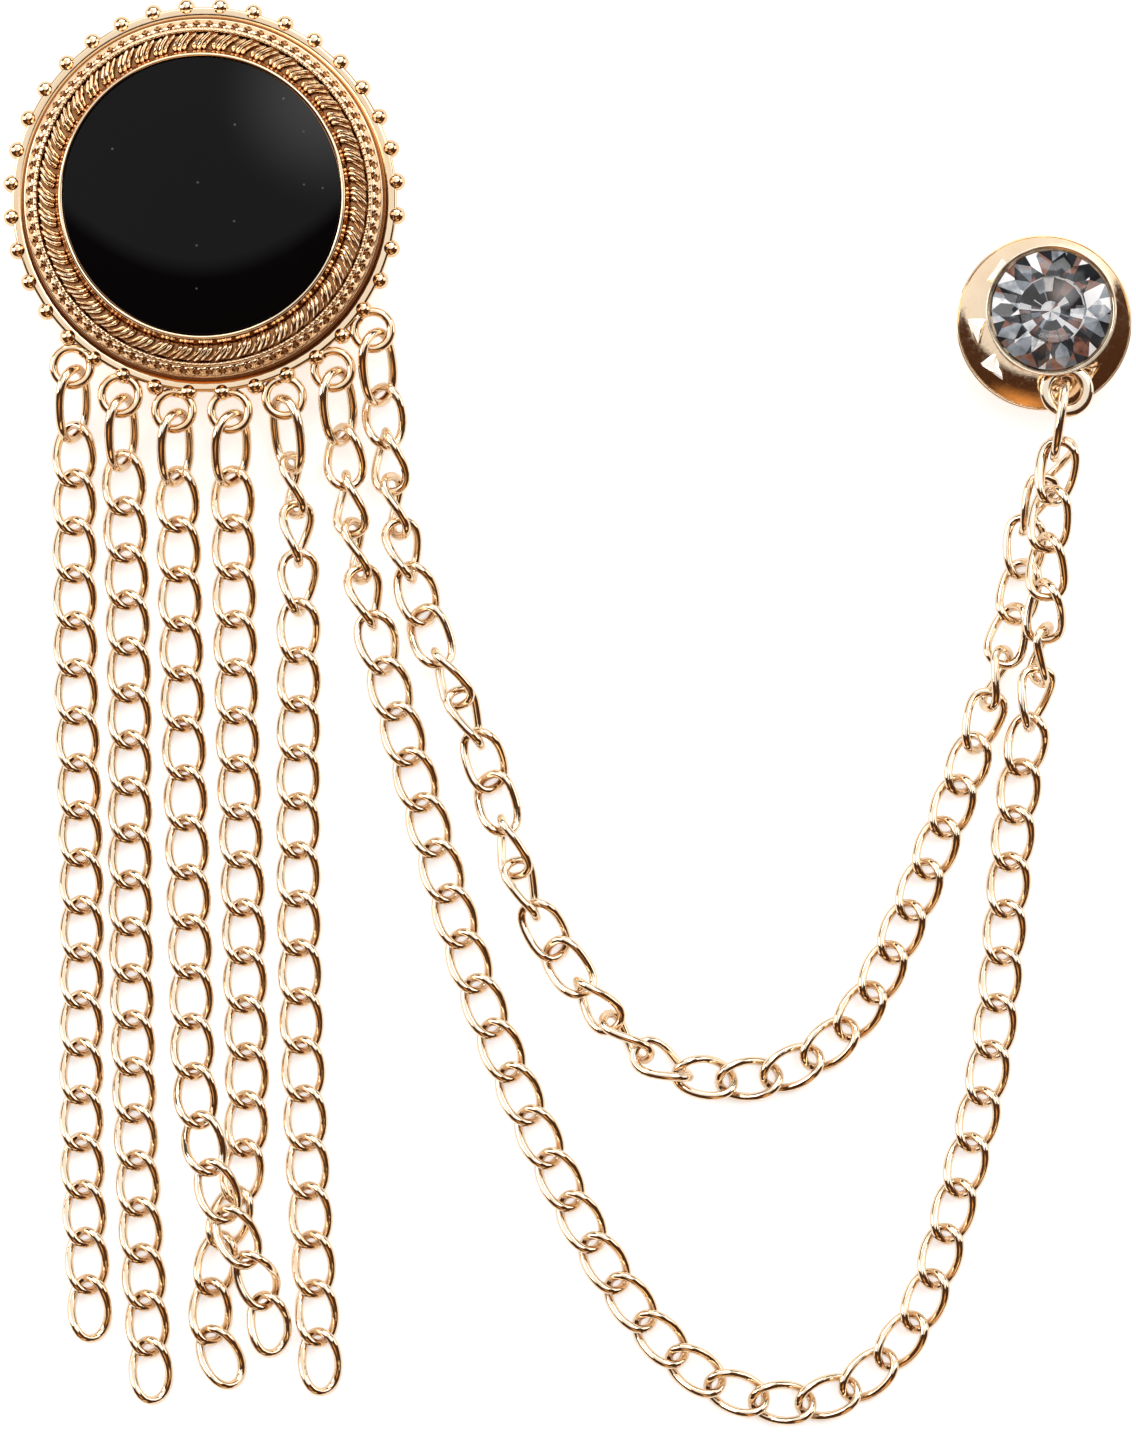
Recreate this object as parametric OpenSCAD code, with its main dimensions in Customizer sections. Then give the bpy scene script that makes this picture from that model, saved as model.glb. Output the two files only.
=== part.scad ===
/* [Curb links] */
// Wire of a link
wire_d = 0.58; // [0.54:0.01:0.6]
// Outer width of a link
link_w = 2.94; // [2.88:0.01:3]
// Outer length of a link
link_l = 4.54; // [4.5:0.01:4.6]
// Rise of a link's corners out of its flat
link_rise = 1; // [0.94:0.01:1.04]

/* [Connector rings] */
// Wire of a connector
ring_wire = 0.62; // [0.56:0.01:0.64]
// Outer width of a connector
ring_w = 3.6; // [3.54:0.01:3.66]
// Outer length of a connector
ring_l = 5.4; // [5.36:0.01:5.44]

/* [Medallion] */
// Flat edge of the plate outside the drum
flange_w = 0.9; // [0.8:0.05:1]
// Thickness of the plate's edge
flange_t = 0.7; // [0.6:0.05:0.8]
// Beads round the edge
bead_count = 36; // [24:1:40]
// Bead across
bead_d = 1.16; // [1:0.02:1.3]
// Radial ribs on the drum's slope
rib_count = 84; // [60:1:90]
// Smooth step between the ribs and the rope twist
step_w = 0.3; // [0.2:0.05:0.4]
// Width of the rope twist
rope_d = 1.26; // [1.1:0.02:1.3]
// Strands in the rope-twist row
strand_count = 96; // [72:1:108]
// Height of the setting's rim over the plate
rim_rise = 2.7; // [2.4:0.05:3]
// Wire of a flat loop
loop_wire = 0.6; // [0.54:0.01:0.62]

/* [Black stone] */
// Stone across
stone_d = 17.8; // [17:0.1:17.9]
// Height of the dome over the rim
stone_dome = 0.9; // [0.6:0.05:1.4]

/* [Brooch pin] */
// Length of the pin between the outsides of its ends
pin_l = 20; // [16:0.5:21]
// Needle across
needle_d = 0.9; // [0.7:0.05:1]

/* [Stud] */
// Clutch across
clutch_d = 11.4; // [11:0.1:11.5]
// Cup of the clear stone across
cup_d = 8.4; // [8.2:0.05:8.6]
// Post across
post_d = 1.1; // [0.9:0.05:1.2]
// Table of the clear stone, share of its width
table_part = 0.57; // [0.5:0.01:0.65]

/* [Hidden] */
$fn = 24;

// Gap between pieces that touch in the real thing
gap = 0.05;
// Half-round corners and straights of a wire overlap by this much along the wire
lap = 0.1;
// A straight is this much slimmer than the bends that it joins
slim = 0.02;
// Bends of one link stop this far from each other
seam = 0.04;

// Medallion
disc_at = [-23.5, 33.4];
plate_z = 2.65;
flange_z = plate_z + flange_t;
loop_d = 3;
loop_sink = 0.18;
loop_from = 231.6;
loop_step = 15.1;
loop_z = plate_z + flange_t/2;
rim_z = flange_z + rim_rise;
seat_z = 4.5;
rope_z = flange_z + 1.8;
rope_sink = 0.2;
slope_z = [flange_z + 0.95, flange_z + 1.65];
slope_w = 0.55;
rim_t = 0.16;
collar_w = 0.23;
drum_lip = 0.1;
seat_r = stone_d/2 + gap;
rope_r = seat_r + rim_t + collar_w + rope_d/2;
slope_r = [rope_r + rope_d/2 + step_w + slope_w, rope_r + rope_d/2 + step_w];
drum_r = slope_r[0] + drum_lip;
plate_r = drum_r + flange_w;
loop_r = plate_r + loop_d/2 - loop_sink;
rib_cut = 0.36;
strand_cut = 0.3;
strand_slant = -42;
strand_l = 2.1;
bead_turn = 0.53;
pin_off = 3;
needle_z = 0.9;
bar_w = 3;
bar_t = 0.5;
end_l = 2;

// Chains: links, then the route's flat points with their lift off the rest height, then [link, roll]
reach = 4.1;
ring_rolls = [-58, -60, -55, -50, 55, -52, -50];
ring_top = [0.25, 0.3];
ring_foot = 0.42;
first_lift = 0.42;
tassels = [
  [19, [[-32, 4, 0], [-31.6, -12, 0], [-31.6, -27.5, 0], [-31, -40, 0]], [[1, 0], [19, 0]]],
  [20, [[-28.5, 2, 0], [-28.4, -13, 0], [-28, -29, 0], [-27, -44, 0]], [[1, 0], [20, 0]]],
  [18, [[-25, 0, 0], [-24.5, -16.5, 0], [-24.3, -24, 0.3], [-23.3, -29, 1.7], [-22, -32.5, 1.9], [-20.6, -35.3, 1.8],
    [-19.5, -38.2, 0.5], [-19.2, -41, 0]], [[1, 5], [3, 0], [18, 0]]],
  [19, [[-21.5, 0, 0], [-21, -16, 0], [-21, -29, 0], [-22.8, -35, 0], [-23.3, -40, 0], [-21.9, -43, 0]],
    [[1, 0], [19, 0]]],
  [19, [[-17.5, 10.5, 0], [-17.5, -11.5, 0], [-17, -27.5, 0], [-16, -43.5, 0]],
    [[1, 90], [2, 120], [3, 145], [4, 170], [5, 180], [19, 180]]]];
inner = [35, [[-11, 12.5, 0], [-8.5, 4, 0], [-6, -1, 0], [-2.5, -12, 0], [2.5, -19.5, 0], [7, -23, 0],
  [13, -23.5, 0], [18, -20.5, 0], [21, -15.5, 0], [25.5, -4.5, 0], [28.2, 4, 0.2], [29.6, 9.4, 0],
  [29.7, 12.6, 0.3], [30.7, 14.9, 1], [31.8, 17.4, 2.4]],
  [[1, 0], [2, 45], [3, 90], [4, 135], [5, 180], [6, 180], [7, 240], [8, 300], [9, 360], [10, 360], [12, 480],
  [13, 540], [14, 540], [18, 720], [28, 720], [29, 745], [30, 805], [31, 875], [32, 890], [33, 905], [34, 960],
  [35, 960]]];
outer = [46, [[-13.5, 9.5, 0], [-9.5, -5.5, 0], [-5, -20, 0], [1.5, -34, 0], [7, -41.5, 0], [12.5, -44.5, 0],
  [18, -44, 0], [22.5, -39.5, 0], [24.5, -34, 0], [27.5, -22, 0], [29, -7, 0.1], [30.4, 2.3, 0.7],
  [30.8, 7.3, 3.3], [30.8, 10.8, 3.6], [31.1, 13.6, 4], [31.6, 17.2, 4.5]],
  [[1, 20], [2, 55], [3, 90], [4, 130], [5, 165], [6, 180], [40, 180], [41, 225], [42, 270], [43, 330], [44, 330],
  [45, 345], [46, 370]]];

// Stud
clutch_at = [30.8, 25.5];
cup_at = [31, 26.05];
face_z = 3;
face_t = 0.5;
edge_w = 2.2;
edge_drop = 0.45;
hub_d = [5.6, 6.4];
wing_turn = 25;
wing_from = 2;
wing_l = 3.2;
wing_w = 3.2;
wing_t = 0.5;
wing_z = 0.5;
tooth_r = 4.35;
tooth_turn = 18;
tooth_spread = 17.5;
tooth_w = 1.1;
tooth_l = 1.5;
tooth_t = 0.14;
tooth_root = 0.25;
tooth_tilt = 25;
cup_z = 4.2;
cup_h = 1.9;
cup_taper = 1.2;
cup_floor = 0.6;
girdle_r = cup_d/2 - 0.35;
girdle_z = cup_z + cup_h - 0.1;
tab_at = [32.1, 21];
tab_d = 3.5;
tab_hole = 1.8;
tab_t = 0.65;
post_tip_z = 0.6;
post_point = 0.8;
crown_h = 1.2;
pavilion_h = 1.05;
stud_ring = [[32, 21.5, 5.4], [31.3, 16.5, 4.6]];
stud_roll = 94;

link_a = (link_w - wire_d)/2;
link_b = (link_l - wire_d)/2;
corners = [[link_a, link_b, link_rise], [-link_a, link_b, -link_rise], [-link_a, -link_b, link_rise],
  [link_a, -link_b, -link_rise]];

function unit(v) = v/norm(v);
function flat(v) = [v[0], v[1]];
function loop_at(k) = let(a = loop_from + k*loop_step)
  [disc_at[0] + loop_r*cos(a), disc_at[1] + loop_r*sin(a), loop_z];

// Smooth curve through points, its running length, and the point at a length
function ghost(p, i) = i < 0 ? 2*p[0] - p[1] : i >= len(p) ? 2*p[len(p) - 1] - p[len(p) - 2] : p[i];
function mix(a, b, c, d, t) = (2*b + (c - a)*t + (2*a - 5*b + 4*c - d)*t*t + (3*b - a - 3*c + d)*t*t*t)/2;
function curve(p) = concat([for (i = [0:len(p) - 2], t = [0:0.1:0.95])
  mix(ghost(p, i - 1), p[i], p[i + 1], ghost(p, i + 2), t)], [p[len(p) - 1]]);
function run(q) = [for (i = 0, s = 0; i < len(q); s = s + norm(q[min(i + 1, len(q) - 1)] - q[i]), i = i + 1) s];
function column(q, s, k) = [for (i = [0:len(q) - 1]) [s[i], q[i][k]]];
// Points along one rounded corner, and the height of a resting link's middle at a roll
bend_pts = let(p = corners[0], da = unit(corners[3] - p), db = unit(corners[1] - p), half = acos(da*db)/2,
  t = norm(corners[0] - corners[1])/2, c = p + unit(da + db)*t/cos(half), r = t*tan(half),
  x = unit(p + da*t - c), y = cross(unit(cross(-da, db)), x))
  [for (i = [0:6]) let(w = (180 - 2*half)*i/6) c + r*(x*cos(w) + y*sin(w))];
function rest(a) = wire_d/2 + max([for (p = bend_pts, m = [1, -1]) abs(p[2]*cos(a) + m*p[0]*sin(a))]);
function roll_of(c, k) = lookup(k, c[2]);
function start_of(k, c) = let(l = loop_at(k), u = unit(flat(c[1][0]) - flat(l)))
  [l[0] + reach*u[0], l[1] + reach*u[1], first_lift];
// Joints of a chain that hangs from loop k
function joints(k, c) = let(q = curve(concat([start_of(k, c)], c[1])), s = run(q), n = c[0], all = s[len(s) - 1],
  x = column(q, s, 0), y = column(q, s, 1), z = column(q, s, 2))
  [for (i = [0:n]) let(w = all*i/n) [lookup(w, x), lookup(w, y),
    max(lookup(w, z), 0) + max(rest(roll_of(c, max(i, 1))), rest(roll_of(c, min(i + 1, n))))]];

module place(o, x, z) {
  y = cross(z, x);
  multmatrix([[x[0], y[0], z[0], o[0]], [x[1], y[1], z[1], o[1]], [x[2], y[2], z[2], o[2]], [0, 0, 0, 1]])
    children();
}
// Children's y runs from a to b, their flat is turned about it
module aim(a, b, roll) {
  d = unit(b - a);
  x = unit(cross(d, [0, 0, 1]));
  z = cross(x, d);
  place((a + b)/2, x*cos(roll) - z*sin(roll), z*cos(roll) + x*sin(roll)) children();
}
module corner(a, p, b, t) {
  da = unit(a - p);
  db = unit(b - p);
  half = acos(da*db)/2;
  c = p + unit(da + db)*t/cos(half);
  place(c, unit(p + da*t - c), unit(cross(-da, db)))
    rotate_extrude(angle = 180 - 2*half) translate([t*tan(half), 0]) circle(d = wire_d);
}
module straight(a, b, t) {
  d = unit(b - a);
  place(a + d*(t - lap), unit(cross(d, [0.1, 0.3, 0.9])), d)
    cylinder(d = wire_d - slim, h = norm(b - a) - 2*t + 2*lap);
}
module curb_link() {
  t = norm(corners[0] - corners[1])/2 - seam/2;
  for (i = [0:3]) {
    corner(corners[(i + 3)%4], corners[i], corners[(i + 1)%4], t);
    straight(corners[i], corners[(i + 1)%4], t);
  }
}
module chain(k, c) {
  j = joints(k, c);
  for (i = [1:c[0]]) aim(j[i - 1], j[i], roll_of(c, i)) curb_link();
}
// Oval ring in its own flat, long along y
module oval_ring() {
  r = (ring_w - ring_wire)/2;
  s = (ring_l - ring_w)/2;
  for (m = [0, 180]) rotate(m) {
    translate([0, s]) rotate_extrude(angle = 180) translate([r, 0]) circle(d = ring_wire);
    translate([r, s + lap]) rotate([90, 0, 0]) cylinder(d = ring_wire - slim, h = 2*(s + lap));
  }
}
module connector(k, c) {
  l = loop_at(k);
  j = joints(k, c)[0];
  u = unit(flat(j) - flat(l));
  a = [l[0] + ring_top[0]*u[0], l[1] + ring_top[0]*u[1], loop_z + ring_top[1]];
  b = [j[0] + ring_foot*u[0], j[1] + ring_foot*u[1], j[2]];
  aim(a, b, ring_rolls[k]) oval_ring();
}
module flat_ring(od, wire) rotate_extrude() translate([(od - wire)/2, 0]) circle(d = wire);

// Cast body, turned: plate, drum, slope, rope step, setting
module cast_body() rotate_extrude() polygon([[0, plate_z], [plate_r - 0.1, plate_z],
  [plate_r, plate_z + 0.1], [plate_r, flange_z - 0.1], [plate_r - 0.1, flange_z], [drum_r, flange_z + 0.08],
  [drum_r, slope_z[0] - 0.1], [slope_r[0], slope_z[0]], [slope_r[1], slope_z[1]],
  [slope_r[1] - 0.15, slope_z[1] + 0.02], [slope_r[1] - 0.2, rope_z], [seat_r + rim_t, rope_z],
  [seat_r + rim_t, rim_z - 0.05], [seat_r + rim_t/2, rim_z], [seat_r, rim_z - 0.05], [seat_r, seat_z],
  [0, seat_z]]);
module ribbed_body() difference() {
  cast_body();
  for (i = [0:rib_count - 1]) rotate(i*360/rib_count) translate([slope_r[0] + 0.1, 0, slope_z[0] - 0.02])
    rotate([0, -atan((slope_r[0] - slope_r[1])/(slope_z[1] - slope_z[0])), 0]) rotate(45)
    cylinder(d = rib_cut, h = 1.15, $fn = 4);
}
module rope_row() difference() {
  translate([0, 0, rope_z - rope_sink]) rotate_extrude() translate([rope_r, 0]) circle(d = rope_d);
  for (i = [0:strand_count - 1]) rotate(i*360/strand_count)
    translate([rope_r, 0, rope_z - rope_sink + rope_d/2]) rotate([0, 0, strand_slant]) rotate([0, 90, 0]) rotate(45)
    cylinder(d = strand_cut, h = strand_l, center = true, $fn = 4);
}
module beads() for (i = [0:bead_count - 1]) rotate((i + bead_turn)*360/bead_count)
  translate([plate_r + 0.02, 0, plate_z + flange_t/2]) sphere(d = bead_d);
module loops() for (k = [0:6]) rotate(loop_from + k*loop_step) {
  translate([loop_r, 0, loop_z]) flat_ring(loop_d, loop_wire);
  translate([plate_r, 0, plate_z + 0.05]) cylinder(d = 1, h = flange_t - 0.1);
}
module medallion() color("Goldenrod") translate([disc_at[0], disc_at[1], 0]) {
  ribbed_body();
  rope_row();
  beads();
  loops();
}
module black_stone() color("Black") translate([disc_at[0], disc_at[1], 0]) {
  ball = (stone_d*stone_d/4 + stone_dome*stone_dome)/(2*stone_dome);
  intersection() {
    translate([0, 0, seat_z + gap]) cylinder(d = stone_d, h = 2*stone_dome + rim_z - seat_z, $fn = 180);
    translate([0, 0, rim_z - gap + stone_dome - ball]) sphere(r = ball, $fn = 256);
  }
}
module brooch_pin() color("DarkGoldenrod") translate([disc_at[0], disc_at[1] + pin_off, 0]) {
  top = plate_z - gap;
  translate([-pin_l/2, -bar_w/2, top - bar_t]) cube([pin_l, bar_w, bar_t]);
  for (s = [-1, 1]) translate([s*(pin_l - end_l)/2 - end_l/2, -bar_w/2, 0]) cube([end_l, bar_w, top]);
  translate([(end_l - pin_l)/2, 0, needle_z]) rotate([0, 90, 0]) cylinder(d = needle_d, h = pin_l - end_l);
}
module connectors() color("Gold") {
  for (k = [0:4]) connector(k, tassels[k]);
  connector(5, outer);
  connector(6, inner);
}
module stud_connector() color("Gold") aim(stud_ring[0], stud_ring[1], stud_roll) oval_ring();
module tassel_1() color("Gold") chain(0, tassels[0]);
module tassel_2() color("Gold") chain(1, tassels[1]);
module tassel_3() color("Gold") chain(2, tassels[2]);
module tassel_4() color("Gold") chain(3, tassels[3]);
module tassel_5() color("Gold") chain(4, tassels[4]);
module drape_inner() color("Gold") chain(6, inner);
module drape_outer() color("Gold") chain(5, outer);

module stud_setting() color("Goldenrod") {
  difference() {
    union() {
      translate([cup_at[0], cup_at[1], cup_z]) cylinder(d1 = cup_d - cup_taper, d2 = cup_d, h = cup_h);
      translate([tab_at[0], tab_at[1], cup_z]) cylinder(d = tab_d, h = tab_t);
    }
    translate([tab_at[0], tab_at[1], cup_z - 1]) cylinder(d = tab_hole, h = tab_t + 2);
    translate([cup_at[0], cup_at[1], cup_z + cup_floor])
      cylinder(r1 = 1.2, r2 = girdle_r - 0.2, h = girdle_z - gap - cup_z - cup_floor + 0.001);
    translate([cup_at[0], cup_at[1], girdle_z - gap]) cylinder(r = girdle_r + gap, h = 1);
  }
  translate([clutch_at[0], clutch_at[1], post_tip_z + post_point])
    cylinder(d = post_d, h = cup_z + 0.3 - post_tip_z - post_point);
  translate([clutch_at[0], clutch_at[1], post_tip_z]) cylinder(d1 = 0.3, d2 = post_d, h = post_point);
}
// Table, main facets and the facets between them over a thin girdle, point below
module rhinestone() color("White") translate([cup_at[0], cup_at[1], girdle_z]) {
  intersection() {
    translate([0, 0, 0.1]) cylinder(r1 = girdle_r, r2 = girdle_r*table_part, h = crown_h, $fn = 12);
    translate([0, 0, 0.1]) rotate(15)
      cylinder(r1 = girdle_r, r2 = girdle_r*(table_part + 0.07), h = crown_h, $fn = 12);
  }
  intersection_for(m = [0, 15]) rotate(m) cylinder(r = girdle_r, h = 0.1, $fn = 12);
  translate([0, 0, -pavilion_h]) cylinder(r1 = 0.4, r2 = girdle_r - 0.45, h = pavilion_h, $fn = 12);
}
// Teeth punched up out of the clutch's face, in four pairs, each beside the hole that it left
module teeth() for (m = [0:90:270], s = [-1, 1]) rotate(tooth_turn + m + s*tooth_spread)
  translate([tooth_r, 0, face_z]) children();
module clutch_face() rotate_extrude() polygon([[0, face_z - face_t], [clutch_d/2 - edge_w, face_z - face_t],
  [clutch_d/2 - 0.2, face_z - edge_drop - face_t], [clutch_d/2, face_z - edge_drop - face_t/2],
  [clutch_d/2 - 0.1, face_z - edge_drop], [clutch_d/2 - edge_w, face_z], [0, face_z]]);
module clutch() color("Peru") translate([clutch_at[0], clutch_at[1], 0]) {
  difference() {
    union() {
      clutch_face();
      cylinder(d1 = hub_d[0], d2 = hub_d[1], h = face_z - face_t + 0.1);
      for (s = [0, 180]) rotate(s + wing_turn) translate([wing_from, -wing_w/2, wing_z])
        cube([wing_l, wing_w, wing_t]);
    }
    translate([0, 0, post_tip_z - 0.3]) cylinder(d = post_d + 2*gap, h = face_z);
    teeth() translate([0, 0, -1]) linear_extrude(2) polygon([[-tooth_w/2, 0], [tooth_w/2, 0], [0, tooth_l]]);
  }
  teeth() rotate([tooth_tilt, 0, 0]) translate([0, 0, -tooth_t]) linear_extrude(tooth_t) polygon([[-tooth_w/2, 0],
    [-tooth_w/2, -tooth_root], [tooth_w/2, -tooth_root], [tooth_w/2, 0], [0, tooth_l]]);
}

medallion();
black_stone();
brooch_pin();
connectors();
stud_connector();
tassel_1();
tassel_2();
tassel_3();
tassel_4();
tassel_5();
drape_inner();
drape_outer();
stud_setting();
rhinestone();
clutch();
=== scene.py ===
import math
import random
import bmesh
import bpy
from mathutils import Matrix, Vector


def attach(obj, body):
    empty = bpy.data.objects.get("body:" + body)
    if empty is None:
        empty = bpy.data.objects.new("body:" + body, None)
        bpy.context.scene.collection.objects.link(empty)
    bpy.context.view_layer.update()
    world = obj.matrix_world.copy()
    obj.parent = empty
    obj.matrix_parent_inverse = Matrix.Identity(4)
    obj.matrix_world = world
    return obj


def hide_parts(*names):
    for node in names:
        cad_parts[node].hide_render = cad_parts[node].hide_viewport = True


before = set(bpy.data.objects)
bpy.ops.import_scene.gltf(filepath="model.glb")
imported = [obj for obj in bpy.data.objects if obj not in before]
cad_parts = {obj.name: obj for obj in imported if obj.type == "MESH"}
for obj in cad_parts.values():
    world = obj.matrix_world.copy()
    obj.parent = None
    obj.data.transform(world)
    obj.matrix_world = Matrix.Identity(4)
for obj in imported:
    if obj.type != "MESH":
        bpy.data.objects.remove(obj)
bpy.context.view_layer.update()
mm = 0.001

weld = {"distance": 1e-7, "sliver": 1e-16, "crease": 38, "softCrease": 60}


# Point of a circle, for the first two coordinates
def around(centre, radius, angle):
    return centre[0] + radius * math.cos(angle), centre[1] + radius * math.sin(angle)


# Point of a unit circle that grows squarer as the power drops under 1
def fullCircle(angle, power):
    return [math.copysign(abs(v) ** power, v) for v in (math.cos(angle), math.sin(angle))]


# Equal angles round a circle; the shift is a share of one step
def turns(count, shift=0.0):
    return [2 * math.pi * (k + shift) / count for k in range(count)]


# Mesh object in metres from points in mm
def meshObject(name, verts, faces, smooth=True):
    mesh = bpy.data.meshes.new(name)
    mesh.from_pydata([Vector(v) * mm for v in verts], [], faces)
    mesh.validate()
    mesh.update()
    for polygon in mesh.polygons:
        polygon.use_smooth = smooth
    obj = bpy.data.objects.new(name, mesh)
    bpy.context.scene.collection.objects.link(obj)
    return obj


# Four-sided faces of a grid of points, row after row; either way may close on itself
def gridFaces(rows, columns, closeRows, closeColumns):
    faces = []
    for i in range(rows if closeRows else rows - 1):
        j = (i + 1) % rows
        for k in range(columns if closeColumns else columns - 1):
            n = (k + 1) % columns
            faces.append((i * columns + k, j * columns + k, j * columns + n, i * columns + n))
    return faces


def mergeDoubles(obj, crease=weld["crease"]):
    work = bmesh.new()
    work.from_mesh(obj.data)
    bmesh.ops.remove_doubles(work, verts=work.verts, dist=weld["distance"])
    slivers = [f for f in work.faces if f.calc_area() < weld["sliver"]]
    bmesh.ops.delete(work, geom=slivers, context="FACES")
    bmesh.ops.recalc_face_normals(work, faces=work.faces)
    work.to_mesh(obj.data)
    work.free()
    obj.data.set_sharp_from_angle(angle=math.radians(crease))


# Turned body: profile points (r, z) in order, outside on the right-hand side of the walk
def turned(name, profile, centre, steps, closed=False):
    verts = [(*around(centre, r, a), z) for a in turns(steps) for r, z in profile]
    obj = meshObject(name, verts, gridFaces(steps, len(profile), True, closed))
    mergeDoubles(obj)
    return obj


# Round wire swept along a closed line of points
def sweptRing(name, line, wire, sides):
    count = len(line)
    pts = [Vector(p) for p in line]
    tangents = [(pts[(i + 1) % count] - pts[i - 1]).normalized() for i in range(count)]
    normal = tangents[0].orthogonal().normalized()
    normals = [normal]
    for i in range(1, count + 1):
        axis = tangents[i - 1].cross(tangents[i % count])
        turn = tangents[i - 1].angle(tangents[i % count])
        if axis.length > 1e-9:
            normal = Matrix.Rotation(turn, 3, axis.normalized()) @ normal
        normals.append(normal.copy())
    first = normals[0]
    side = tangents[0].cross(first)
    drift = math.atan2(normals[count].dot(side), normals[count].dot(first))
    verts = []
    for i in range(count):
        n = Matrix.Rotation(-drift * i / count, 3, tangents[i]) @ normals[i]
        b = tangents[i].cross(n)
        verts += [pts[i] + (n * math.cos(a) + b * math.sin(a)) * wire / 2 for a in turns(sides)]
    obj = meshObject(name, verts, gridFaces(count, sides, True, True))
    mergeDoubles(obj)
    return obj


# Rounded bar along x from stations of x, half width, height, base and side shift
def barPattern(name, stations, sides):
    verts = [(x, shift + half * math.cos(a), base + height * math.sin(a))
             for x, half, height, base, shift in stations for a in turns(sides)]
    last = (len(stations) - 1) * sides
    faces = gridFaces(len(stations), sides, False, True)
    faces += [tuple(range(sides)), tuple(reversed(range(last, last + sides)))]
    obj = meshObject(name, verts, faces)
    mergeDoubles(obj, weld["softCrease"])
    return obj


# Ball as a bar of many stations, with a tiny flat face at each pole
def ballPattern(name, size, rings, sides, pole=0.03):
    stations = []
    for k in range(rings + 1):
        w = math.pi * k / rings
        thick = size / 2 * max(math.sin(w), pole)
        stations.append((-size / 2 * math.cos(w), thick, thick, 0, 0))
    return barPattern(name, stations, sides)


# Gives a node's inputs a value each, or a link where the value is a socket
def feed(node, inputs):
    for label, value in inputs.items():
        if isinstance(value, bpy.types.NodeSocket):
            node.id_data.links.new(value, node.inputs[label])
        else:
            node.inputs[label].default_value = value


def addNode(tree, kind, inputs=None, **options):
    node = tree.nodes.new(kind)
    for key, value in options.items():
        setattr(node, key, value)
    feed(node, inputs or {})
    return node


# The one live output of a node that has a socket for each type of data
def liveOutput(node):
    return [s for s in node.outputs if s.enabled][0]


# Node group from inputs (label, type, value if any) and outputs (label, type), with its two end nodes
def nodeGroup(name, kind, inputs, outputs):
    tree = bpy.data.node_groups.new(name, kind)
    for label, socket, *value in inputs:
        made = tree.interface.new_socket(label, in_out="INPUT", socket_type="NodeSocket" + socket)
        if value:
            made.default_value = value[0]
    for label, socket in outputs:
        tree.interface.new_socket(label, in_out="OUTPUT", socket_type="NodeSocket" + socket)
    return tree, addNode(tree, "NodeGroupInput"), addNode(tree, "NodeGroupOutput")


def calc(tree, operation, *values):
    return addNode(tree, "ShaderNodeMath", dict(enumerate(values)), operation=operation).outputs[0]


def vectorCalc(tree, operation, *values):
    return liveOutput(addNode(tree, "ShaderNodeVectorMath", dict(enumerate(values)), operation=operation))


def noise(tree, vector, scale, detail=3.0, roughness=0.55):
    return addNode(tree, "ShaderNodeTexNoise", {"Vector": vector, "Scale": scale, "Detail": detail,
                                                "Roughness": roughness}).outputs["Fac"]


def mapped(tree, source, low, high, toLow, toHigh, curve="LINEAR"):
    return addNode(tree, "ShaderNodeMapRange", {"Value": source, "From Min": low, "From Max": high, "To Min": toLow,
                                                "To Max": toHigh}, interpolation_type=curve).outputs[0]


def mixed(tree, factor, first, second):
    return liveOutput(addNode(tree, "ShaderNodeMix", {"Factor": factor, "A": first, "B": second}, data_type="RGBA"))


def coloured(tree, source, stops):
    node = addNode(tree, "ShaderNodeValToRGB", {"Fac": source})
    elements = node.color_ramp.elements
    while len(elements) < len(stops):
        elements.new(0.5)
    for element, (position, colour) in zip(elements, stops):
        element.position = position
        element.color = (*colour, 1)
    return node.outputs["Color"]


def newMaterial(name):
    material = bpy.data.materials.new(name)
    material.use_nodes = True
    tree = material.node_tree
    return material, tree, tree.nodes["Principled BSDF"], addNode(tree, "ShaderNodeTexCoord").outputs["Object"]


# Common tail: a share per copy for the material, then plain geometry with its material
def finishCopies(tree, start, out, instances):
    share = addNode(tree, "FunctionNodeRandomValue", {"Seed": start.outputs["Seed"]}, data_type="FLOAT")
    store = addNode(tree, "GeometryNodeStoreNamedAttribute", {
        "Geometry": instances, "Name": "copyShare", "Value": liveOutput(share)}, data_type="FLOAT", domain="INSTANCE")
    realize = addNode(tree, "GeometryNodeRealizeInstances", {"Geometry": store.outputs["Geometry"]})
    coated = addNode(tree, "GeometryNodeSetMaterial", {"Geometry": realize.outputs["Geometry"],
                                                       "Material": start.outputs["Material"]})
    feed(out, {"Geometry": coated.outputs["Geometry"]})


# One copy of the pattern on each point of the mesh, turned by the point's "turn"
def makeCopiesOnPoints():
    tree, start, out = nodeGroup("copiesOnPoints", "GeometryNodeTree", [
        ("Geometry", "Geometry"), ("Pattern", "Object"), ("Seed", "Int"), ("Material", "Material")],
        [("Geometry", "Geometry")])
    info = addNode(tree, "GeometryNodeObjectInfo", {"Object": start.outputs["Pattern"]})
    turn = addNode(tree, "GeometryNodeInputNamedAttribute", {"Name": "turn"}, data_type="FLOAT_VECTOR")
    rotate = addNode(tree, "FunctionNodeEulerToRotation", {"Euler": turn.outputs["Attribute"]})
    place = addNode(tree, "GeometryNodeInstanceOnPoints", {
        "Points": start.outputs["Geometry"], "Instance": info.outputs["Geometry"],
        "Rotation": rotate.outputs["Rotation"]})
    finishCopies(tree, start, out, place.outputs["Instances"])
    return tree


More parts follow.
